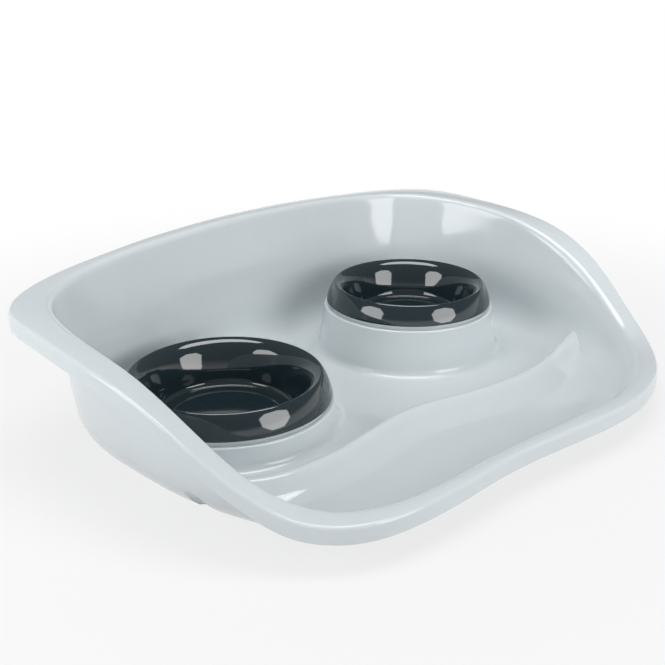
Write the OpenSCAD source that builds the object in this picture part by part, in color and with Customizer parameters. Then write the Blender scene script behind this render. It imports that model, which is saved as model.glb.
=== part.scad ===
// Double pet bowl: a splash tray moulded in one piece, with a high wall at the
// back and sides, a low wavy front, two round pedestals of different heights and
// two bowls that lift straight out of them.
// The origin is on the table, under the middle of the tray's outline.

/* [Tray] */
// Width over the two grips
tray_w = 434; // [400:1:480]
// Depth over the flange, front to back
tray_d = 315; // [295:1:350]
// Height of the rim at the middle of the back
rim_high = 104; // [80:1:130]
// Height of the rim along the front
rim_low = 26; // [22:1:32]
// Height of the feeding floor above the table
floor_h = 5; // [4.5:0.5:8]
// Thickness of every wall of the tray
wall = 2.5; // [2:0.1:3]
// How far the wall leans outwards from the floor to the rim
wall_lean = 15; // [12:1:18]
// Round between the floor and the wall
foot_round = 20; // [12:1:22]
// How far the ring that the tray stands on lies inside the foot of the wall
base_in = 10; // [6:1:12]
// Round between the wall and the flange
rim_round = 5; // [3:0.5:6]
// Round of the flange's outer edge
edge_round = 2.5; // [1:0.1:3]
// Height of the skirt that hangs from the flange
skirt_h = 10.5; // [8:0.5:14]

/* [Bowls] */
// Radius over the rim of the left bowl
bowl_l_r = 70; // [66:0.5:72]
// Radius over the rim of the right bowl
bowl_r_r = 62.5; // [58:0.5:66]
// Wall of the bowls
bowl_wall = 2.4; // [2:0.1:3]

/* [Pedestals] */
// Height of the left pedestal above the table
ped_l_h = 23.5; // [23:0.5:30]
// Height of the right pedestal above the table
ped_r_h = 41.5; // [34:0.5:50]
// How far a pedestal's top reaches past the bowl's rim
ped_lip = 1.8; // [1:0.1:2.5]
// Distance of the left pedestal from the flange's edge at the back
ped_back_gap = 39.7; // [38:0.1:43]
// Round of the pedestal's top edge
ped_round = 2.5; // [1.5:0.1:3]
// Round between a pedestal and the floor
ped_foot_round = 6; // [3:0.5:8]
// Clearance between a bowl's body and the hole that it hangs in
hole_gap = 1.5; // [1:0.1:2.5]

/* [Ridge] */
// Height of the ridge above the feeding floor
ridge_h = 11.5; // [8:0.5:14]
// Run of the steep side, towards the bowls
ridge_back = 9; // [6:0.5:12]
// Run of the gentle side, towards the front
ridge_front = 20; // [16:1:26]
// Height of the arches in the foot of the wall at the ridge's ends
notch_h = 8; // [6:0.5:8]
// Radius of those arches
notch_r = 8; // [8:0.5:9]

/* [Hidden] */
$fn = 96;
// Overrun of every cut
over = 1;
// Stations between two points of the rim's outline
rim_steps = 2;
// Stations between two points of the ridge's line
ridge_steps = 3;
// Steps in each rounded corner of a profile
arc_steps = 4;
// Steps in the small rounds of the flange
edge_steps = 2;
// Points along the outside of a bowl's rim
rim_arc_steps = 10;
// How far up the rim its hollow underside reaches, in degrees of its outside
groove_turn = 40;
half_w = tray_w / 2;
half_d = tray_d / 2;
// Place of the bowls' axes, as a share of half the width
bowl_x_share = 0.433;
bowl_x = half_w * bowl_x_share;
bowl_y = half_d - ped_back_gap - ped_lip - bowl_l_r;
// Length of the cut that makes an arch, from the ridge's hollow to past the wall
notch_reach = 24;
// Inner side of the ring that the tray stands on, as run from the flange's inner edge
ring_in = -wall_lean - base_in - wall;
// Draft of a pedestal's side, as run per height
ped_draft_share = 0.025;
// How far the wall's side hollows in from a straight line, as a share of its lean
wall_sag_share = 0.06;
// Places of the points on the wall's side between its two rounds
wall_side_shares = [0.3, 0.6];
// How far up its inner round the wall's outer round leans
foot_lean_share = 0.28;
// How much of the wall's side its lower round may take
foot_round_share = 0.4;

// The rim, from the middle of the back down the right side; the left side is its
// mirror. Each row holds x and y of the flange's inner edge as shares of half the
// width and depth, its height as a share of the way from low to high, and x and y
// of the flange's outer edge, which is wide at the two grips.
side_shares = [
    [0.000, 0.917, 1.000, 0.000, 1.000],
    [0.177, 0.913, 0.993, 0.177, 0.997],
    [0.349, 0.904, 0.978, 0.350, 0.985],
    [0.508, 0.884, 0.955, 0.517, 0.962],
    [0.652, 0.838, 0.932, 0.684, 0.925],
    [0.775, 0.752, 0.915, 0.840, 0.842],
    [0.856, 0.606, 0.897, 0.955, 0.694],
    [0.897, 0.420, 0.872, 0.986, 0.474],
    [0.912, 0.217, 0.830, 1.000, 0.214],
    [0.907, 0.026, 0.745, 0.996, -0.030],
    [0.896, -0.170, 0.585, 0.976, -0.235],
    [0.874, -0.350, 0.375, 0.946, -0.398],
    [0.836, -0.509, 0.180, 0.900, -0.543]
];
// The rim along the front, from right to left, where it follows the ridge's wave
front_shares = [
    [0.784, -0.634, 0.045, 0.838, -0.680],
    [0.713, -0.730, 0, 0.753, -0.792],
    [0.626, -0.806, 0, 0.657, -0.882],
    [0.528, -0.868, 0, 0.552, -0.948],
    [0.418, -0.912, 0, 0.431, -0.988],
    [0.298, -0.924, 0, 0.297, -1.000],
    [0.160, -0.906, 0, 0.154, -0.980],
    [0.012, -0.879, 0, 0.006, -0.948],
    [-0.136, -0.858, 0, -0.141, -0.919],
    [-0.280, -0.845, 0, -0.282, -0.907],
    [-0.413, -0.836, 0, -0.418, -0.905],
    [-0.530, -0.818, 0, -0.545, -0.893],
    [-0.627, -0.778, 0, -0.660, -0.863],
    [-0.706, -0.708, 0, -0.760, -0.790],
    [-0.772, -0.614, 0.045, -0.844, -0.672]
];
// The crest of the ridge, from the left wall to the right one: x and y as shares
// of half the width and depth
ridge_shares = [
    [-0.886, -0.025],
    [-0.787, -0.127],
    [-0.689, -0.259],
    [-0.561, -0.320],
    [-0.423, -0.335],
    [-0.256, -0.315],
    [-0.079, -0.305],
    [0.079, -0.361],
    [0.246, -0.417],
    [0.443, -0.440],
    [0.640, -0.396],
    [0.767, -0.350],
    [0.886, -0.310]
];
// The arches in the foot of the wall: x and y as shares of half the width and depth
notch_l_shares = [-0.818, -0.130];
notch_r_shares = [0.774, -0.362];
// Cross-section of the ridge: run as a share of its back or front run, and height
ridge_back_shares = [[1.0, 0.0], [0.72, 0.2], [0.5, 0.6], [0.24, 0.92]];
ridge_front_shares = [
    [0.0, 1.0],
    [0.1, 0.97],
    [0.25, 0.8],
    [0.45, 0.45],
    [0.65, 0.2],
    [0.85, 0.05],
    [1.0, 0.0]
];

// Bowl, in shares of its rim's radius: radius and height of the lip's edge
lip_share = [0.88, 0.208];
// Radius and height of the crest of the rim
crest_share = [0.90, 0.223];
// Roundness of the rim: 1 is a quarter ellipse, 2 a straight slope
rim_power = 1.47;
// Inside of the bowl below the lip, down to the middle of its floor
inside_shares = [
    [0.868, 0.15],
    [0.85, 0.06],
    [0.822, -0.03],
    [0.78, -0.105],
    [0.725, -0.165],
    [0.665, -0.19],
    [0.63, -0.196],
    [0.615, -0.206],
    [0.52, -0.208],
    [0.505, -0.218],
    [0, -0.222]
];

// A point between b and c on a smooth curve through a, b, c and d
function between(a, b, c, d, t) =
    0.5 * (2 * b + (c - a) * t + (2 * a - 5 * b + 4 * c - d) * t * t
    + (3 * b - a - 3 * c + d) * t * t * t);

// A closed list of points, made denser along a smooth curve
function dense_loop(p, steps) = [
    for (i = [0:len(p) - 1], j = [0:steps - 1])
        between(p[(i + len(p) - 1) % len(p)], p[i], p[(i + 1) % len(p)],
            p[(i + 2) % len(p)], j / steps)
];

// An open list of points, made denser the same way
function dense_line(p, steps) = concat([
    for (i = [0:len(p) - 2], j = [0:steps - 1])
        between(p[max(i - 1, 0)], p[i], p[i + 1], p[min(i + 2, len(p) - 1)], j / steps)
], [p[len(p) - 1]]);

function unit(v) = v / norm(v);

// A list from its last entry to its first
function reversed(p) = [for (i = [len(p) - 1:-1:0]) p[i]];

// A corner rounded by a smooth curve from a to c that leans on b
function corner(a, b, c, steps) = [
    for (i = [0:steps]) let (t = i / steps) (1 - t) * (1 - t) * a + 2 * t * (1 - t) * b + t * t * c
];

rim_shares = concat(side_shares, front_shares, [
    for (i = [len(side_shares) - 1:-1:1])
        let (s = side_shares[i]) [-s[0], s[1], s[2], -s[3], s[4]]
]);
inner_line = dense_loop([
    for (s = rim_shares) [s[0] * half_w, s[1] * half_d, rim_low + s[2] * (rim_high - rim_low)]
], rim_steps);
outer_line = dense_loop([for (s = rim_shares) [s[3] * half_w, s[4] * half_d]], rim_steps);
stations = len(inner_line);

// All sections of the wall are run outwards from the flange's inner edge, and
// height. Two things in them depend on the height of the rim: the way up the
// wall's side, and how far up it the lower round reaches.
function wall_way(top) = unit([wall_lean, top - floor_h]);
function round_up(top) = min(foot_round, foot_round_share * norm([wall_lean, top - floor_h]));

// The lower round inside the wall, from the floor up
function foot_inside(top) =
    let (foot = [-wall_lean, floor_h])
    corner(foot - [round_up(top), 0], foot, foot + wall_way(top) * round_up(top), arc_steps);

// The lower round outside the wall, from the base ring up
function foot_outside(top) =
    let (
        foot = [wall - wall_lean, floor_h],
        side = wall_way(top) * round_up(top)
    )
    corner([-wall_lean - base_in, 0], foot + side * foot_lean_share, foot + side, arc_steps);

// The whole section of the wall. It starts at the floor, climbs the inside, crosses
// the flange, hangs down as the skirt and comes back down the outside to the table.
function wall_section(top, reach) =
    let (
        foot = [-wall_lean, floor_h],
        rim = [0, top],
        way = wall_way(top),
        low = round_up(top),
        high = min(rim_round, reach / 2),
        length = norm(rim - foot) - low - high,
        sag = wall_sag_share * wall_lean * (top - floor_h) / (rim_high - floor_h),
        side = [for (s = wall_side_shares) foot + way * (low + length * s) - [sag * sin(180 * s), 0]],
        below = rim + [wall, 0] - way * wall / way[1]
    )
    concat(
        foot_inside(top),
        side,
        corner(rim - way * high, rim, rim + [high, 0], arc_steps),
        corner([reach - edge_round, top], [reach, top], [reach, top - edge_round], edge_steps),
        [
            [reach, top - skirt_h],
            [reach - wall, top - skirt_h],
            [reach - wall, top - wall]
        ],
        corner([min(wall + high, reach / 2), top - wall], below, below - way * high, edge_steps),
        reversed([for (q = side) q + [wall, 0]]),
        reversed(foot_outside(top)),
        [[ring_in, 0], [ring_in, floor_h - wall]]
    );

// A point of a section, put in its place at one station
function placed(i, q) =
    let (
        a = [inner_line[i][0], inner_line[i][1]],
        out = unit(outer_line[i] - a)
    )
    [a[0] + out[0] * q[0], a[1] + out[1] * q[0], q[1]];

// A closed skin through one section after another, each with as many points
module ring_skin(sections) {
    count = len(sections);
    rows = len(sections[0]);
    sides = [
        for (i = [0:count - 1], j = [0:rows - 2])
            let (
                a = i * rows + j,
                b = ((i + 1) % count) * rows + j
            )
            each [[a, a + 1, b + 1], [a, b + 1, b]]
    ];
    first_cap = [for (i = [0:count - 1]) i * rows];
    last_cap = [for (i = [count - 1:-1:0]) i * rows + rows - 1];
    polyhedron([for (s = sections) each s], concat(sides, [first_cap, last_cap]));
}

// The tray's wall, flange, skirt and floor
module tray_shell() {
    ring_skin([
        for (i = [0:stations - 1])
            let (reach = norm(outer_line[i] - [inner_line[i][0], inner_line[i][1]]))
            [for (q = wall_section(inner_line[i][2], reach)) placed(i, q)]
    ]);
}

// The room inside the wall, out to the middle of its thickness
module wall_room() {
    ring_skin([
        for (i = [0:stations - 1])
            let (
                top = inner_line[i][2],
                inside = foot_inside(top),
                outside = foot_outside(top),
                middle = [for (k = [arc_steps:-1:0]) (inside[k] + outside[k]) / 2],
                way = wall_way(top),
                upper = middle[0] + way * (rim_high - middle[0][1]) / way[1]
            )
            [for (q = concat([upper], middle)) placed(i, q)]
    ]);
}

// The room inside the base ring, where the underside may be hollow
module base_room() {
    translate([0, 0, -over])
        linear_extrude(rim_high)
            polygon([
                for (i = [0:stations - 1])
                    let (q = placed(i, [ring_in - wall, 0])) [q[0], q[1]]
            ]);
}

// A solid pedestal: drafted side, round top edge, round foot
module pedestal_solid(r, h) {
    top_r = r + ped_lip;
    foot_r = top_r + (h - floor_h) * ped_draft_share;
    rotate_extrude()
        polygon(concat(
            [[0, floor_h - wall], [foot_r + ped_foot_round, floor_h - wall]],
            corner([foot_r + ped_foot_round, floor_h], [foot_r, floor_h],
                [foot_r - ped_foot_round * ped_draft_share, floor_h + ped_foot_round], arc_steps),
            corner([top_r, h - ped_round], [top_r, h], [top_r - ped_round, h], arc_steps),
            [[0, h]]
        ));
}

// What is open below a pedestal's top
module pedestal_hollow(r, h) {
    top_r = r + ped_lip - wall;
    foot_r = top_r + (h - floor_h) * ped_draft_share;
    rotate_extrude()
        polygon([
            [0, -over],
            [foot_r, -over],
            [foot_r, floor_h - wall],
            [top_r, h - wall],
            [0, h - wall]
        ]);
}

// The hole in a pedestal's top that the bowl hangs in
module pedestal_hole(r, h) {
    translate([0, 0, h - wall - over])
        cylinder(h = wall + 2 * over, r = r * inside_shares[1][0] + bowl_wall + hole_gap);
}

// The ridge, or what is hollow below it
module ridge(back_run, front_run, height, low) {
    line = dense_line([for (s = ridge_shares) [s[0] * half_w, s[1] * half_d]], ridge_steps);
    count = len(line);
    section = concat(
        [[back_run, low - floor_h]],
        [for (s = ridge_back_shares) [s[0] * back_run, s[1] * height]],
        [for (s = ridge_front_shares) [-s[0] * front_run, s[1] * height]],
        [[-front_run, low - floor_h]]
    );
    rows = len(section);
    points = [
        for (i = [0:count - 1])
            let (
                way = unit(line[min(i + 1, count - 1)] - line[max(i - 1, 0)]),
                side = [-way[1], way[0]]
            )
            for (q = section) [line[i][0] + side[0] * q[0], line[i][1] + side[1] * q[0], floor_h + q[1]]
    ];
    sides = [
        for (i = [0:count - 2], j = [0:rows - 1])
            let (
                k = (j + 1) % rows,
                a = i * rows,
                b = a + rows
            )
            each [[a + j, b + k, a + k], [a + j, b + j, b + k]]
    ];
    ends = [[for (j = [0:rows - 1]) j], [for (j = [rows - 1:-1:0]) (count - 1) * rows + j]];
    polyhedron(points, concat(sides, ends));
}

// An arch in the foot of the wall, where the hollow of the ridge comes out
module notch(at) {
    translate([at[0] * half_w, at[1] * half_d, notch_h - notch_r])
        rotate([0, 90, 0])
            cylinder(h = notch_reach, r = notch_r, center = true);
}

// What stands on the axis of the left bowl, and of the right one
module at_left() {
    translate([-bowl_x, bowl_y, 0])
        children();
}

module at_right() {
    translate([bowl_x, bowl_y, 0])
        children();
}

module tray() {
    color("gainsboro")
    difference() {
        union() {
            tray_shell();
            intersection() {
                wall_room();
                union() {
                    ridge(ridge_back, ridge_front, ridge_h, floor_h - wall / 2);
                    at_left()
                        pedestal_solid(bowl_l_r, ped_l_h);
                    at_right()
                        pedestal_solid(bowl_r_r, ped_r_h);
                }
            }
        }
        intersection() {
            base_room();
            union() {
                ridge(ridge_back - wall, ridge_front - 3 * wall, ridge_h - wall, -over);
                at_left()
                    pedestal_hollow(bowl_l_r, ped_l_h);
                at_right()
                    pedestal_hollow(bowl_r_r, ped_r_h);
            }
        }
        at_left()
            pedestal_hole(bowl_l_r, ped_l_h);
        at_right()
            pedestal_hole(bowl_r_r, ped_r_h);
        notch(notch_l_shares);
        notch(notch_r_shares);
    }
}

// A point on the outside of a bowl's rim, from its edge at 0 to its crest at 90
function rim_point(r, turn) =
    let (crest = crest_share * r, c = turn >= 90 ? 0 : pow(cos(turn), rim_power))
    [crest[0] + (r - crest[0]) * c, crest[1] * pow(sin(turn), rim_power)];

// A bowl with the edge of its rim resting on the pedestal's top
module bowl(r, h) {
    rim = [for (i = [0:rim_arc_steps]) rim_point(r, 90 * i / rim_arc_steps)];
    inside = [for (s = inside_shares) s * r];
    last = len(inside) - 1;
    under = [
        for (i = [last - 1:-1:1])
            let (way = unit(inside[i - 1] - inside[i + 1]))
            inside[i] + [way[1], -way[0]] * bowl_wall
    ];
    groove_top = rim_point(r, groove_turn);
    rim_in = [
        for (i = [rim_arc_steps:-1:0])
            if (90 * i / rim_arc_steps < groove_turn) rim[i] - [bowl_wall, 0]
    ];
    color("darkslategray")
    translate([0, 0, h])
        rotate_extrude()
            polygon(concat(
                rim,
                [lip_share * r],
                inside,
                [inside[last] - [0, bowl_wall]],
                under,
                [[inside[0][0] + bowl_wall, groove_top[1]]],
                [groove_top - [bowl_wall, 0]],
                rim_in
            ));
}

module bowl_left() {
    at_left()
        bowl(bowl_l_r, ped_l_h);
}

module bowl_right() {
    at_right()
        bowl(bowl_r_r, ped_r_h);
}

tray();
bowl_left();
bowl_right();
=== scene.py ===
import math

import bmesh
import bpy
import numpy as np
from mathutils import Matrix, Vector


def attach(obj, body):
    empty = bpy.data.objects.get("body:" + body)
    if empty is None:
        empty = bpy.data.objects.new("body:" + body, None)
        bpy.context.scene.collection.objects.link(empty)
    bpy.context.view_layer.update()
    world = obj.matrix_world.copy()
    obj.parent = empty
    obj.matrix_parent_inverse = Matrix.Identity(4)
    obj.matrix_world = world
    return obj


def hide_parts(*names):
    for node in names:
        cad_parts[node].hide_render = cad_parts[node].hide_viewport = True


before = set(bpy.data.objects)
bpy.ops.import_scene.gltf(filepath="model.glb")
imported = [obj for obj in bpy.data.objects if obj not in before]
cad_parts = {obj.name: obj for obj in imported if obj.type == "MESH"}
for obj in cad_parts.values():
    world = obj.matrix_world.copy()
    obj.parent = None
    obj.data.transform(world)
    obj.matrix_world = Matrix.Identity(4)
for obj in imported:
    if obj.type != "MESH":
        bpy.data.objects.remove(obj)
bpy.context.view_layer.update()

MM = 0.001

# Sizes of the tray in millimetres, the same as the solid's
TRAY_W = 434.0
TRAY_D = 315.0
RIM_HIGH = 104.0
RIM_LOW = 26.0
FLOOR_H = 5.0
WALL = 2.5
WALL_LEAN = 15.0
FOOT_ROUND = 20.0
BASE_IN = 10.0
RIM_ROUND = 5.0
EDGE_ROUND = 2.5
SKIRT_H = 10.5
WALL_SAG_SHARE = 0.06
FOOT_LEAN_SHARE = 0.28
FOOT_ROUND_SHARE = 0.4

# The bowls and their pedestals
BOWL_X = 93.96
BOWL_Y = 46.0
BOWL_WALL = 2.4
LEFT_R = 70.0
RIGHT_R = 62.5
LEFT_H = 23.5
RIGHT_H = 41.5
PED_LIP = 1.8
PED_ROUND = 1.2
PED_FOOT_ROUND = 6.0
PED_DRAFT_SHARE = 0.14
PED_STEP = 3.2
PED_STEP_IN = 0.3
PED_STEP_LEAN = 1.5
HOLE_SHARE = 0.85
HOLE_GAP = 1.5

# The ridge: its height and how far it runs back and to the front
RIDGE_H = 11.5
RIDGE_BACK = 9.0
RIDGE_FRONT = 20.0
# The arches in the foot of the wall, cut by a cylinder that climbs outwards: height
# of its top in its middle, radius, length along x and climb
NOTCH_H = 11.0
NOTCH_R = 9.0
NOTCH_REACH = 24.0
NOTCH_RISE_SHARE = 1.0

# Small steps that keep faces apart, and how many points or steps draw each curve
SINK = 0.05
OVER = 1.0
STATIONS = 480
RIDGE_STATIONS = 120
RIDGE_ROWS = 48
TURNS = 192
NOTCH_TURNS = 48
SPLINE_STEPS = 40
FOOT_STEPS = 12
SIDE_STEPS = 16
RIM_STEPS = 8
EDGE_STEPS = 5
LEDGE_STEPS = 8
PED_FOOT_STEPS = 12

# Edges sharper than this many degrees stay sharp
TRAY_SHARP = 40
BOWL_SHARP = 35

HALF_W = TRAY_W / 2
HALF_D = TRAY_D / 2

# The rim, from the middle of the back down the right side; the left side is its
# mirror. A row holds x and y of the flange's inner edge as shares of half the
# width and depth, its height as a share of the way from low to high, and x and y
# of the flange's outer edge.
SIDE_SHARES = (
    (0.000, 0.917, 1.000, 0.000, 1.000),
    (0.177, 0.913, 0.993, 0.177, 0.997),
    (0.349, 0.904, 0.978, 0.350, 0.985),
    (0.508, 0.884, 0.955, 0.517, 0.962),
    (0.652, 0.838, 0.932, 0.684, 0.925),
    (0.775, 0.752, 0.915, 0.840, 0.842),
    (0.856, 0.606, 0.897, 0.955, 0.694),
    (0.897, 0.420, 0.872, 0.986, 0.474),
    (0.912, 0.217, 0.830, 1.000, 0.214),
    (0.907, 0.026, 0.745, 0.996, -0.030),
    (0.896, -0.170, 0.585, 0.976, -0.235),
    (0.874, -0.350, 0.375, 0.946, -0.398),
    (0.836, -0.509, 0.180, 0.900, -0.543),
)
# The rim along the front, from right to left, where it follows the ridge's wave
FRONT_SHARES = (
    (0.784, -0.634, 0.045, 0.838, -0.680),
    (0.713, -0.730, 0.0, 0.753, -0.792),
    (0.626, -0.806, 0.0, 0.657, -0.882),
    (0.528, -0.868, 0.0, 0.552, -0.948),
    (0.418, -0.912, 0.0, 0.431, -0.988),
    (0.298, -0.924, 0.0, 0.297, -1.000),
    (0.160, -0.906, 0.0, 0.154, -0.980),
    (0.012, -0.879, 0.0, 0.006, -0.948),
    (-0.136, -0.858, 0.0, -0.141, -0.919),
    (-0.280, -0.845, 0.0, -0.282, -0.907),
    (-0.413, -0.836, 0.0, -0.418, -0.905),
    (-0.530, -0.818, 0.0, -0.545, -0.893),
    (-0.627, -0.778, 0.0, -0.660, -0.863),
    (-0.706, -0.708, 0.0, -0.760, -0.790),
    (-0.772, -0.614, 0.045, -0.844, -0.672),
)
# The ridge's crest from the left wall to the right one
RIDGE_SHARES = (
    (-0.886, -0.025),
    (-0.787, -0.127),
    (-0.689, -0.259),
    (-0.561, -0.320),
    (-0.423, -0.335),
    (-0.256, -0.315),
    (-0.079, -0.305),
    (0.079, -0.361),
    (0.246, -0.417),
    (0.443, -0.440),
    (0.640, -0.396),
    (0.767, -0.350),
    (0.886, -0.310),
)
# Its section from the foot at the back over the crest to the foot at the front:
# run as a share of the back or the front run, and height
RIDGE_BACK_SHARES = ((1.3, 0.0), (1.0, 0.05), (0.74, 0.26), (0.52, 0.64), (0.24, 0.955))
RIDGE_FRONT_SHARES = (
    (0.0, 1.0),
    (0.1, 0.955),
    (0.22, 0.78),
    (0.4, 0.46),
    (0.62, 0.2),
    (0.84, 0.05),
    (1.0, 0.0),
)
# The middles of both cylinders, as shares of half the width and depth
NOTCH_LEFT_SHARES = (-0.825, -0.165)
NOTCH_RIGHT_SHARES = (0.797, -0.362)

# A bowl in shares of its rim's radius, and how finely it is drawn
CREST_SHARE = (0.90, 0.223)
RIM_POWER = 1.47
RIM_STEP_ANGLE = math.pi / 64
RIM_POINTS = 23
TOP_STEPS = 8
LIP_STEPS = 6
INSIDE_POINTS = 40
GROOVE_ANGLE = math.radians(40)
TOP_LEAN_SHARE = (0.910, 0.2225)
TOP_SHARE = (0.893, 0.2225)
LIP_LEAN_SHARE = (0.889, 0.2225)
LIP_SHARE = (0.88, 0.2185)
INSIDE_SHARES = (
    (0.850, 0.205),
    (0.812, 0.175),
    (0.773, 0.120),
    (0.739, 0.035),
    (0.708, -0.065),
    (0.690, -0.135),
    (0.675, -0.180),
)
STEP_SHARES = (
    (0.652, -0.205),
    (0.530, -0.208),
    (0.518, -0.214),
    (0.0, -0.217),
)
STEP_ROUND_SHARE = 0.008
STEP_STEPS = 4
# Nearer the axis than this the underside runs straight under the step
UNDER_SHARE = 0.54

# The camera of the photograph, in metres and degrees
CAMERA_PLACE = (-0.5089, -0.4349, 0.3127)
CAMERA_YAW = 47.1
CAMERA_PITCH = 21.3
CAMERA_LENS = 57.27
CAMERA_SENSOR = 36
CAMERA_NEAR = 0.01

# Soft boxes, each with its place, the way its height points, its width, height and
# radiance, and what they face
LIGHTS = (
    ("box_left", (-0.90, 0.26, 0.36), (0, 0, 1), 0.60, 0.64, 4.9),
    ("box_right", (0.09, -0.95, 0.36), (0, 0, 1), 0.60, 0.64, 4.9),
    ("box_top", (0.05, 0.05, 1.25), (0.73, 0.68, 0), 1.15, 0.52, 6.4),
)
LIGHT_AIM = (0.0, 0.04, 0.05)
# A soft box has eight sides: its corners are cut where the offsets from its middle,
# as shares of its sides, add up to this
LIGHT_CUT = 0.71
# The surround: how far up its white reaches as the sine of the elevation, where it
# has fallen off, and its strength there and there
WORLD_LEVEL = (0.14, 0.27, 1.0, 0.22)
# The floor: half its side, its grey and roughness, and in the picture its own white
# share from near to far
FLOOR_HALF = 14
FLOOR_GREY = 0.6
FLOOR_ROUGH = 0.9
FLOOR_WHITE = (0.2, 0.6, 0.75, 1.0)

# The plastics: colour, index of refraction, roughness, grain and bump
TRAY_PLASTIC = ((0.57, 0.615, 0.635), 1.52, 0.09, 900, 0.1)
BOWL_PLASTIC = ((0.012, 0.023, 0.029), 1.66, 0.06, 600, 0.03)
# How far the colour and the roughness vary, how much coarser than the grain that
# is, and the depth of the grain in metres
TONE_VARIES = 0.015
GLOSS_VARIES = 0.15
TONE_COARSER = 12
TONE_DETAIL = 3
GRAIN_DETAIL = 2
GRAIN_DEPTH = 0.00005


def spline(points, closed):
    """Slopes of a smooth curve through the points, one row a point."""
    count = len(points)
    system = np.zeros((count, count))
    target = np.zeros_like(points)
    for i in range(count):
        before, after = i - 1, (i + 1) % count
        if not closed and i == 0:
            system[i, :2] = 2, 1
            target[i] = 3 * (points[1] - points[0])
        elif not closed and i == count - 1:
            system[i, -2:] = 1, 2
            target[i] = 3 * (points[-1] - points[-2])
        else:
            system[i, before] += 1
            system[i, i] += 4
            system[i, after] += 1
            target[i] = 3 * (points[after] - points[before])
    return np.linalg.solve(system, target)


def smooth_line(points, closed, count):
    """count points on a smooth curve through the given ones, evenly spread in plan."""
    points = np.array(points, dtype=float)
    slopes = spline(points, closed)
    spans = len(points) if closed else len(points) - 1
    t = np.linspace(0, 1, SPLINE_STEPS + 1)[:-1, None]
    dense = []
    for i in range(spans):
        j = (i + 1) % len(points)
        dense.append(
            (2 * t**3 - 3 * t**2 + 1) * points[i]
            + (t**3 - 2 * t**2 + t) * slopes[i]
            + (3 * t**2 - 2 * t**3) * points[j]
            + (t**3 - t**2) * slopes[j]
        )
    dense = np.concatenate(dense + [points[:1] if closed else points[-1:]])
    walk = np.concatenate([[0], np.cumsum(np.linalg.norm(np.diff(dense[:, :2], axis=0), axis=1))])
    where = np.linspace(0, walk[-1], count + 1)[:-1] if closed else np.linspace(0, walk[-1], count)
    return np.stack([np.interp(where, walk, column) for column in dense.T], axis=1)


def corner(a, b, c, steps):
    """Points on a smooth curve from a to c that leans on b, for every station at once."""
    t = np.linspace(0, 1, steps + 1)[:, None]
    a, b, c = (np.asarray(p, dtype=float)[..., None, :] for p in (a, b, c))
    return (1 - t) ** 2 * a + 2 * t * (1 - t) * b + t**2 * c


def rounded(points, reach, steps):
    """The points after the first, with each corner between them rounded over the reach."""
    rows = []
    for before, here, after in zip(points[:-2], points[1:-1], points[2:]):
        back, on = before - here, after - here
        near = here + back * reach / np.linalg.norm(back)
        far = here + on * reach / np.linalg.norm(on)
        rows.append(corner(near, here, far, steps))
    return np.concatenate([*rows, points[-1:]])


def grid_faces(lines, rows, close_lines, close_rows):
    """Quads between neighbouring lines of rows points each."""
    faces = []
    for i in range(lines if close_lines else lines - 1):
        n = (i + 1) % lines
        for j in range(rows if close_rows else rows - 1):
            k = (j + 1) % rows
            faces.append((i * rows + j, i * rows + k, n * rows + k, n * rows + j))
    return faces


def new_piece(name, points, faces):
    """An object from points in millimetres."""
    mesh = bpy.data.meshes.new(name)
    mesh.from_pydata((np.asarray(points) * MM).tolist(), [], faces)
    work = bmesh.new()
    work.from_mesh(mesh)
    bmesh.ops.remove_doubles(work, verts=work.verts, dist=SINK * MM / 10)
    bmesh.ops.recalc_face_normals(work, faces=work.faces)
    work.to_mesh(mesh)
    work.free()
    piece = bpy.data.objects.new(name, mesh)
    bpy.context.scene.collection.objects.link(piece)
    return piece


def revolve(name, profile, x, y, closed):
    """A profile of radius and height turned about an upright axis."""
    turn = np.linspace(0, 2 * math.pi, TURNS + 1)[:-1]
    profile = np.asarray(profile)
    points = np.stack(
        [
            x + np.outer(np.cos(turn), profile[:, 0]),
            y + np.outer(np.sin(turn), profile[:, 0]),
            np.tile(profile[:, 1], (TURNS, 1)),
        ],
        axis=-1,
    ).reshape(-1, 3)
    return new_piece(name, points, grid_faces(TURNS, len(profile), True, closed))


def cut(piece, cutters):
    """Takes the cutters out of a piece and removes them."""
    for cutter in cutters:
        step = piece.modifiers.new("cut", "BOOLEAN")
        step.operation = "DIFFERENCE"
        step.solver = "MANIFOLD"
        step.object = cutter
    seen = piece.evaluated_get(bpy.context.evaluated_depsgraph_get())
    mesh = bpy.data.meshes.new_from_object(seen)
    piece.modifiers.clear()
    piece.data = mesh
    for cutter in cutters:
        bpy.data.objects.remove(cutter)


def join(name, parts):
    """One object from several, which are removed."""
    work = bmesh.new()
    for part in parts:
        work.from_mesh(part.data)
        bpy.data.objects.remove(part)
    mesh = bpy.data.meshes.new(name)
    work.to_mesh(mesh)
    work.free()
    piece = bpy.data.objects.new(name, mesh)
    bpy.context.scene.collection.objects.link(piece)
    return piece


def shade(piece, degrees):
    """Smooth shading with edges sharper than the angle kept."""
    piece.data.shade_smooth()
    piece.data.set_sharp_from_angle(angle=math.radians(degrees))


rim_shares = np.array(SIDE_SHARES + FRONT_SHARES)
mirrored = np.array(SIDE_SHARES)[:0:-1] * (-1, 1, 1, -1, 1)
rim_scale = (HALF_W, HALF_D, RIM_HIGH - RIM_LOW, HALF_W, HALF_D)
rim_rows = np.concatenate([rim_shares, mirrored]) * rim_scale
rim_rows[:, 2] += RIM_LOW
rim_line = smooth_line(rim_rows, True, STATIONS)
rim_inner = rim_line[:, :2]
rim_top = rim_line[:, 2]
rim_reach = np.linalg.norm(rim_line[:, 3:] - rim_inner, axis=1)
rim_out = (rim_line[:, 3:] - rim_inner) / rim_reach[:, None]
ring_in = -WALL_LEAN - BASE_IN - WALL


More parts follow.
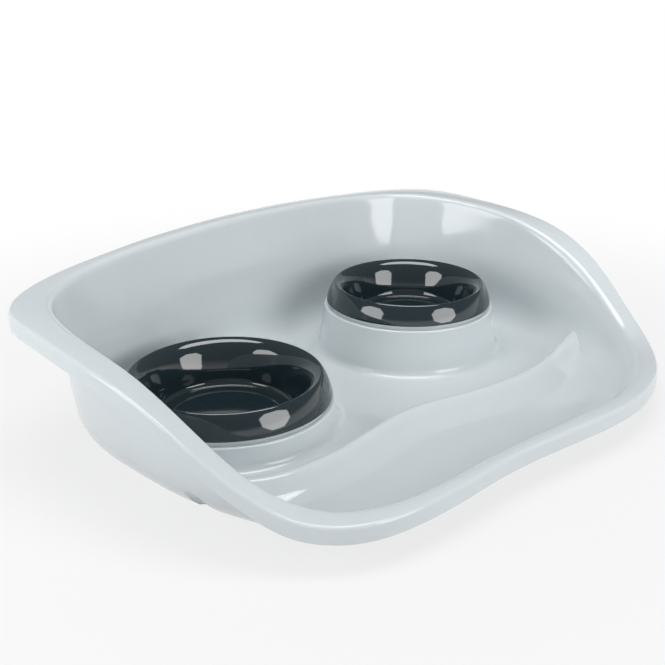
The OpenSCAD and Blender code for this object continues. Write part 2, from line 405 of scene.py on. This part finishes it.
def pairs(run, height):
    """Run and height as one array with a row for every station."""
    run, height = np.broadcast_arrays(np.asarray(run, float), np.asarray(height, float))
    run, height = (np.broadcast_to(v, (STATIONS,)) for v in (run, height))
    return np.stack([run, height], axis=-1)


wall_foot = pairs(-WALL_LEAN, FLOOR_H)
wall_rise = np.linalg.norm(pairs(0, rim_top) - wall_foot, axis=1)
wall_way = (pairs(0, rim_top) - wall_foot) / wall_rise[:, None]
round_up = np.minimum(FOOT_ROUND, FOOT_ROUND_SHARE * wall_rise)[:, None]
# The lower round of the wall inside and outside, each as three points to lean on
foot_inside = (wall_foot - round_up * (1, 0), wall_foot, wall_foot + wall_way * round_up)
foot_outside = (
    pairs(-WALL_LEAN - BASE_IN, 0),
    wall_foot + (WALL, 0) + wall_way * round_up * FOOT_LEAN_SHARE,
    wall_foot + (WALL, 0) + wall_way * round_up,
)


def wall_sections():
    """The wall's section at every station, as run outwards from the rim's inner edge and height."""
    rim = pairs(0, rim_top)
    low = round_up[:, 0]
    high = np.minimum(RIM_ROUND, rim_reach / 2)
    sag = WALL_SAG_SHARE * WALL_LEAN * (rim_top - FLOOR_H) / (RIM_HIGH - FLOOR_H)
    s = np.linspace(0, 1, SIDE_STEPS + 2)[1:-1]
    side = (
        wall_foot[:, None]
        + wall_way[:, None] * (low[:, None] + (wall_rise - low - high)[:, None] * s)[..., None]
        - np.stack([sag[:, None] * np.sin(math.pi * s) ** 2, np.zeros((STATIONS, len(s)))], -1)
    )
    below = rim + (WALL, 0) - wall_way * WALL / wall_way[:, 1:]
    parts = [
        corner(*foot_inside, FOOT_STEPS),
        side,
        corner(rim - wall_way * high[:, None], rim, pairs(high, rim_top), RIM_STEPS),
        corner(
            pairs(rim_reach - EDGE_ROUND, rim_top),
            pairs(rim_reach, rim_top),
            pairs(rim_reach, rim_top - EDGE_ROUND),
            EDGE_STEPS,
        ),
        pairs(rim_reach, rim_top - SKIRT_H)[:, None],
        pairs(rim_reach - WALL, rim_top - SKIRT_H)[:, None],
        pairs(rim_reach - WALL, rim_top - WALL)[:, None],
        corner(
            pairs(np.minimum(WALL + high, rim_reach / 2), rim_top - WALL),
            below,
            below - wall_way * high[:, None],
            EDGE_STEPS,
        ),
        (side[:, :-3] + (WALL, 0))[:, ::-1],
        corner(*foot_outside, FOOT_STEPS)[:, ::-1],
        pairs(ring_in, 0)[:, None],
        pairs(ring_in, FLOOR_H - WALL)[:, None],
    ]
    return np.concatenate(parts, axis=1)


def make_shell():
    """The wall, flange, skirt and floor as one closed skin."""
    sections = wall_sections()
    rows = sections.shape[1]
    points = np.concatenate(
        [
            rim_inner[:, None] + rim_out[:, None] * sections[..., :1],
            sections[..., 1:],
        ],
        axis=-1,
    ).reshape(-1, 3)
    faces = grid_faces(STATIONS, rows, True, False)
    faces.append([i * rows for i in range(STATIONS)])
    faces.append([i * rows + rows - 1 for i in range(STATIONS)])
    return new_piece("shell", points, faces)


def middle_run(height):
    """Run of the middle of the wall's thickness at each height, for every station."""
    a, b, c = ((p + q) / 2 for p, q in zip(foot_inside, foot_outside))
    height = np.maximum(np.asarray(height, float)[:, None], a[:, 1])
    square = a[:, 1] - 2 * b[:, 1] + c[:, 1]
    line = 2 * (b[:, 1] - a[:, 1])
    t = (np.sqrt(line**2 + 4 * square * (height - a[:, 1])) - line) / (2 * square)
    curved = (1 - t) ** 2 * a[:, 0] + 2 * t * (1 - t) * b[:, 0] + t**2 * c[:, 0]
    straight = c[:, 0] + (height - c[:, 1]) * wall_way[:, 0] / wall_way[:, 1]
    return np.where(t > 1, straight, curved)


def kept_inside(points, run=None):
    """Points pulled in to a run, or else to the middle of the wall, where they would pass it."""
    points = np.array(points)
    run = middle_run(points[:, 2]) if run is None else np.full((len(points), STATIONS), run)
    ring_x = rim_inner[:, 0] + rim_out[:, 0] * run
    ring_y = rim_inner[:, 1] + rim_out[:, 1] * run
    turn = np.arctan2(points[:, 1], points[:, 0])
    apart = np.abs((np.arctan2(ring_y, ring_x) - turn[:, None] + math.pi) % (2 * math.pi) - math.pi)
    near = np.argmin(apart, axis=1)
    row = np.arange(len(points))
    limit = np.hypot(ring_x[row, near], ring_y[row, near])
    reach = np.hypot(points[:, 0], points[:, 1])
    points[:, :2] *= np.minimum(1, limit / np.maximum(reach, OVER))[:, None]
    return points


def pull_in(piece, run=None):
    """Pulls a piece's points inside the wall."""
    places = np.empty(len(piece.data.vertices) * 3)
    piece.data.vertices.foreach_get("co", places)
    places = kept_inside(places.reshape(-1, 3) / MM, run) * MM
    piece.data.vertices.foreach_set("co", places.ravel())


def make_pedestal(name, x, r, h):
    """A pedestal, and the cutter that opens the floor below it."""
    top_r = r + PED_LIP
    foot_r = top_r + (h - FLOOR_H) * PED_DRAFT_SHARE
    hole_r = r * HOLE_SHARE + BOWL_WALL + HOLE_GAP
    foot_end = foot_r + PED_FOOT_ROUND
    ledge_h = h - PED_STEP
    neck_r = r - PED_STEP_IN - PED_STEP_LEAN
    outside = np.concatenate(
        [
            [(hole_r, h), (r - PED_STEP_IN, h), (neck_r, ledge_h)],
            corner(
                (top_r - PED_ROUND, ledge_h),
                (top_r, ledge_h),
                (top_r, ledge_h - PED_ROUND),
                LEDGE_STEPS,
            ),
            corner(
                (foot_r - PED_FOOT_ROUND * PED_DRAFT_SHARE, FLOOR_H + PED_FOOT_ROUND),
                (foot_r, FLOOR_H),
                (foot_end, FLOOR_H),
                PED_FOOT_STEPS,
            ),
            [(foot_end + OVER, FLOOR_H - SINK), (foot_end, FLOOR_H - WALL / 2)],
        ]
    )
    inside = [
        (foot_r - WALL, FLOOR_H - WALL / 2),
        (top_r - WALL, ledge_h - WALL),
        (neck_r - WALL, ledge_h - WALL),
        (neck_r - WALL, h - WALL),
        (hole_r, h - WALL),
    ]
    piece = revolve(name, np.concatenate([outside, inside]), x, BOWL_Y, True)
    pull_in(piece)
    hollow = revolve(
        name + "_hollow",
        [
            (0, -OVER),
            (foot_r - WALL, -OVER),
            (foot_r - WALL, FLOOR_H - WALL),
            (top_r - WALL, h - WALL),
            (0, h - WALL),
        ],
        x,
        BOWL_Y,
        False,
    )
    pull_in(hollow, ring_in - WALL)
    return piece, hollow


def ridge_section(back_run, front_run, height):
    """The ridge's top from its back foot over the crest to its front foot."""
    rows = [(share * back_run, rise * height) for share, rise in RIDGE_BACK_SHARES]
    rows += [(-share * front_run, rise * height) for share, rise in RIDGE_FRONT_SHARES]
    line = smooth_line(np.array(rows), False, RIDGE_ROWS)
    line[:, 1] = FLOOR_H - SINK + np.maximum(line[:, 1], 0)
    return line


def make_ridge():
    """The ridge, and the cutter that opens the floor below it."""
    line = smooth_line(np.array(RIDGE_SHARES) * (HALF_W, HALF_D), False, RIDGE_STATIONS)
    way = np.gradient(line, axis=0)
    way /= np.linalg.norm(way, axis=1)[:, None]
    side = np.stack([-way[:, 1], way[:, 0]], axis=-1)

    def sweep(name, outline, run):
        points = np.concatenate(
            [
                line[:, None] + side[:, None] * outline[None, :, :1],
                np.broadcast_to(outline[None, :, 1:], (RIDGE_STATIONS, len(outline), 1)),
            ],
            axis=-1,
        ).reshape(-1, 3)
        rows = len(outline)
        faces = grid_faces(RIDGE_STATIONS, rows, False, True)
        faces.append(range(rows))
        faces.append([(RIDGE_STATIONS - 1) * rows + j for j in range(rows)])
        return new_piece(name, kept_inside(points, run), faces)

    top = ridge_section(RIDGE_BACK, RIDGE_FRONT, RIDGE_H)
    under = ridge_section(RIDGE_BACK - WALL, RIDGE_FRONT - 3 * WALL, RIDGE_H - WALL)
    under = under[under[:, 1] > FLOOR_H + OVER]
    left, right = under[-1, 0], under[0, 0]
    low = FLOOR_H - WALL / 2
    outline = [top, [(top[-1, 0], low), (left, low)], under[::-1], [(right, low), (top[0, 0], low)]]
    piece = sweep("ridge", np.concatenate(outline), None)
    high = FLOOR_H + OVER
    hollow = np.array([(right, high), (left, high), (left, -OVER), (right, -OVER)])
    return piece, sweep("ridge_hollow", hollow, ring_in - WALL)


def make_notch(share):
    """The cutter of an arch in the foot of the wall."""
    turn = np.linspace(0, 2 * math.pi, NOTCH_TURNS + 1)[:-1]
    points = []
    for end in (-NOTCH_REACH / 2, NOTCH_REACH / 2):
        rise = end * NOTCH_RISE_SHARE * math.copysign(1, share[0])
        for a in turn:
            points.append(
                (
                    share[0] * HALF_W + end,
                    share[1] * HALF_D + NOTCH_R * math.cos(a),
                    NOTCH_H - NOTCH_R + rise + NOTCH_R * math.sin(a),
                )
            )
    faces = grid_faces(2, len(turn), False, True)
    faces.append(range(len(turn)))
    faces.append([len(turn) + i for i in range(len(turn))])
    return new_piece("notch", points, faces)


def make_tray():
    """The whole tray as one object."""
    shell = make_shell()
    left, left_hollow = make_pedestal("pedestal_left", -BOWL_X, LEFT_R, LEFT_H)
    right, right_hollow = make_pedestal("pedestal_right", BOWL_X, RIGHT_R, RIGHT_H)
    ridge, ridge_hollow = make_ridge()
    arches = [make_notch(share) for share in (NOTCH_LEFT_SHARES, NOTCH_RIGHT_SHARES)]
    cut(shell, [left_hollow, right_hollow, ridge_hollow, *arches])
    piece = join("tray_skin", [shell, left, right, ridge])
    shade(piece, TRAY_SHARP)
    return piece


def rim_point(r, turn):
    """A point on the outside of a bowl's rim, from its edge at 0 to its crest at a quarter turn."""
    c, s = max(math.cos(turn), 0) ** RIM_POWER, math.sin(turn) ** RIM_POWER
    crest_r, crest_h = CREST_SHARE[0] * r, CREST_SHARE[1] * r
    return crest_r + (r - crest_r) * c, crest_h * s


def make_bowl(name, x, r, h):
    """A bowl turned from a smooth profile."""
    outside = np.array([rim_point(r, i * RIM_STEP_ANGLE) for i in range(RIM_POINTS)])
    top = corner(outside[-1] / r, TOP_LEAN_SHARE, TOP_SHARE, TOP_STEPS)[1:] * r
    lip = corner(TOP_SHARE, LIP_LEAN_SHARE, LIP_SHARE, LIP_STEPS)[1:-1] * r
    inside = smooth_line(np.array([LIP_SHARE, *INSIDE_SHARES]) * r, False, INSIDE_POINTS)
    floor = np.array([INSIDE_SHARES[-1], *STEP_SHARES]) * r
    floor = rounded(floor, STEP_ROUND_SHARE * r, STEP_STEPS)
    dish = np.concatenate([inside, floor])
    way = np.gradient(dish[:-1], axis=0)
    way /= np.linalg.norm(way, axis=1)[:, None]
    under = dish[:-1] + np.stack([-way[:, 1], way[:, 0]], axis=-1) * BOWL_WALL
    under = under[dish[:-1, 0] > UNDER_SHARE * r][:0:-1]
    groove = rim_point(r, GROOVE_ANGLE)
    back = [(under[-1][0], groove[1]), (groove[0] - BOWL_WALL, groove[1]), (r - BOWL_WALL, 0)]
    middle = [(0, dish[-1][1] - BOWL_WALL)]
    profile = np.concatenate([outside, top, lip, dish, middle, under, back])
    profile[:, 1] += h
    piece = revolve(name, profile, x, BOWL_Y, True)
    shade(piece, BOWL_SHARP)
    return piece


def plastic(name, colour, ior, rough, grain, bump):
    """Moulded plastic: slightly uneven gloss and a faint orange peel."""
    made = bpy.data.materials.new(name)
    made.use_nodes = True
    nodes = made.node_tree.nodes
    links = made.node_tree.links
    shader = nodes["Principled BSDF"]
    shader.inputs["IOR"].default_value = ior
    place = nodes.new("ShaderNodeTexCoord")
    tone = nodes.new("ShaderNodeTexNoise")
    tone.inputs["Scale"].default_value = grain / TONE_COARSER
    tone.inputs["Detail"].default_value = TONE_DETAIL
    links.new(place.outputs["Object"], tone.inputs["Vector"])
    tint = nodes.new("ShaderNodeMix")
    tint.data_type = "RGBA"
    tint.inputs[6].default_value = (*[c * (1 - TONE_VARIES) for c in colour], 1)
    tint.inputs[7].default_value = (*[c * (1 + TONE_VARIES) for c in colour], 1)
    links.new(tone.outputs["Fac"], tint.inputs[0])
    links.new(tint.outputs[2], shader.inputs["Base Color"])
    gloss = nodes.new("ShaderNodeMapRange")
    gloss.inputs["To Min"].default_value = rough * (1 - GLOSS_VARIES)
    gloss.inputs["To Max"].default_value = rough * (1 + GLOSS_VARIES)
    links.new(tone.outputs["Fac"], gloss.inputs["Value"])
    links.new(gloss.outputs["Result"], shader.inputs["Roughness"])
    peel = nodes.new("ShaderNodeTexNoise")
    peel.inputs["Scale"].default_value = grain
    peel.inputs["Detail"].default_value = GRAIN_DETAIL
    links.new(place.outputs["Object"], peel.inputs["Vector"])
    lift = nodes.new("ShaderNodeBump")
    lift.inputs["Strength"].default_value = bump
    lift.inputs["Distance"].default_value = GRAIN_DEPTH
    links.new(peel.outputs["Fac"], lift.inputs["Height"])
    links.new(lift.outputs["Normal"], shader.inputs["Normal"])
    return made


def make_light(name, place, up, width, height, radiance):
    """An eight-sided soft box that faces the part, with the radiance that its face shows."""
    lamp = bpy.data.lights.new(name, "AREA")
    lamp.shape = "RECTANGLE"
    lamp.size = width
    lamp.size_y = height
    lamp.energy = radiance * math.pi * width * height
    lamp.use_nodes = True
    nodes = lamp.node_tree.nodes
    links = lamp.node_tree.links
    face = nodes.new("ShaderNodeNewGeometry")
    off = nodes.new("ShaderNodeVectorMath")
    off.operation = "SUBTRACT"
    off.inputs[1].default_value = (0.5, 0.5, 0)
    size = nodes.new("ShaderNodeVectorMath")
    size.operation = "ABSOLUTE"
    total = nodes.new("ShaderNodeVectorMath")
    total.operation = "DOT_PRODUCT"
    total.inputs[1].default_value = (1, 1, 0)
    inside = nodes.new("ShaderNodeMath")
    inside.operation = "LESS_THAN"
    inside.inputs[1].default_value = LIGHT_CUT
    links.new(face.outputs["Parametric"], off.inputs[0])
    links.new(off.outputs["Vector"], size.inputs[0])
    links.new(size.outputs["Vector"], total.inputs[0])
    links.new(total.outputs["Value"], inside.inputs[0])
    links.new(inside.outputs["Value"], nodes["Emission"].inputs["Strength"])
    box = bpy.data.objects.new(name, lamp)
    box.location = place
    back = (Vector(place) - Vector(LIGHT_AIM)).normalized()
    right = Vector(up).cross(back).normalized()
    box.rotation_euler = Matrix((right, back.cross(right), back)).transposed().to_euler()
    bpy.context.scene.collection.objects.link(box)
    return box


def make_camera():
    """The camera at the photograph's angle."""
    lens = bpy.data.cameras.new("camera")
    lens.lens = CAMERA_LENS
    lens.sensor_width = CAMERA_SENSOR
    lens.clip_start = CAMERA_NEAR
    camera = bpy.data.objects.new("camera", lens)
    camera.location = CAMERA_PLACE
    camera.rotation_euler = (math.radians(90 - CAMERA_PITCH), 0, math.radians(-CAMERA_YAW))
    bpy.context.scene.collection.objects.link(camera)
    bpy.context.scene.camera = camera


def make_floor():
    """A pale floor that carries the shadow and runs out to white in the picture."""
    size = FLOOR_HALF / MM
    points = [(-size, -size, 0), (size, -size, 0), (size, size, 0), (-size, size, 0)]
    floor = new_piece("floor", points, [(0, 1, 2, 3)])
    made = bpy.data.materials.new("pale_floor")
    made.use_nodes = True
    nodes = made.node_tree.nodes
    links = made.node_tree.links
    shader = nodes["Principled BSDF"]
    shader.inputs["Base Color"].default_value = (FLOOR_GREY, FLOOR_GREY, FLOOR_GREY, 1)
    shader.inputs["Roughness"].default_value = FLOOR_ROUGH
    shader.inputs["Specular IOR Level"].default_value = 0
    white = nodes.new("ShaderNodeEmission")
    place = nodes.new("ShaderNodeTexCoord")
    reach = nodes.new("ShaderNodeVectorMath")
    reach.operation = "LENGTH"
    links.new(place.outputs["Object"], reach.inputs[0])
    share = nodes.new("ShaderNodeMapRange")
    share.interpolation_type = "SMOOTHSTEP"
    for name, value in zip(("From Min", "From Max", "To Min", "To Max"), FLOOR_WHITE):
        share.inputs[name].default_value = value
    links.new(reach.outputs["Value"], share.inputs["Value"])
    path = nodes.new("ShaderNodeLightPath")
    seen = path.outputs["Is Camera Ray"]
    for ray in ("Is Glossy Ray", "Is Transmission Ray"):
        either = nodes.new("ShaderNodeMath")
        either.operation = "MAXIMUM"
        links.new(seen, either.inputs[0])
        links.new(path.outputs[ray], either.inputs[1])
        seen = either.outputs["Value"]
    blend = nodes.new("ShaderNodeMath")
    blend.operation = "MULTIPLY"
    links.new(seen, blend.inputs[0])
    links.new(share.outputs["Result"], blend.inputs[1])
    mix = nodes.new("ShaderNodeMixShader")
    links.new(blend.outputs["Value"], mix.inputs["Fac"])
    links.new(shader.outputs["BSDF"], mix.inputs[1])
    links.new(white.outputs["Emission"], mix.inputs[2])
    links.new(mix.outputs["Shader"], nodes["Material Output"].inputs["Surface"])
    floor.data.materials.append(made)


def make_world():
    """A surround that is white along the horizon and dim overhead."""
    world = bpy.data.worlds.new("surround")
    world.use_nodes = True
    nodes = world.node_tree.nodes
    links = world.node_tree.links
    place = nodes.new("ShaderNodeTexCoord")
    split = nodes.new("ShaderNodeSeparateXYZ")
    links.new(place.outputs["Generated"], split.inputs["Vector"])
    level = nodes.new("ShaderNodeMapRange")
    level.interpolation_type = "SMOOTHSTEP"
    for name, value in zip(("From Min", "From Max", "To Min", "To Max"), WORLD_LEVEL):
        level.inputs[name].default_value = value
    links.new(split.outputs["Z"], level.inputs["Value"])
    nodes["Background"].inputs["Color"].default_value = (1, 1, 1, 1)
    links.new(level.outputs["Result"], nodes["Background"].inputs["Strength"])
    bpy.context.scene.world = world


bpy.context.scene.view_settings.view_transform = "Standard"
make_camera()
make_floor()
make_world()
for light in LIGHTS:
    make_light(*light)

tray = make_tray()
tray.data.materials.append(plastic("tray_plastic", *TRAY_PLASTIC))
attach(tray, "tray")
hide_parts("tray")
for side, x, r, h in (("left", -BOWL_X, LEFT_R, LEFT_H), ("right", BOWL_X, RIGHT_R, RIGHT_H)):
    bowl = make_bowl("bowl_" + side + "_skin", x, r, h)
    bowl.data.materials.append(plastic("bowl_plastic", *BOWL_PLASTIC))
    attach(bowl, "bowl_" + side)
    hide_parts("bowl_" + side)
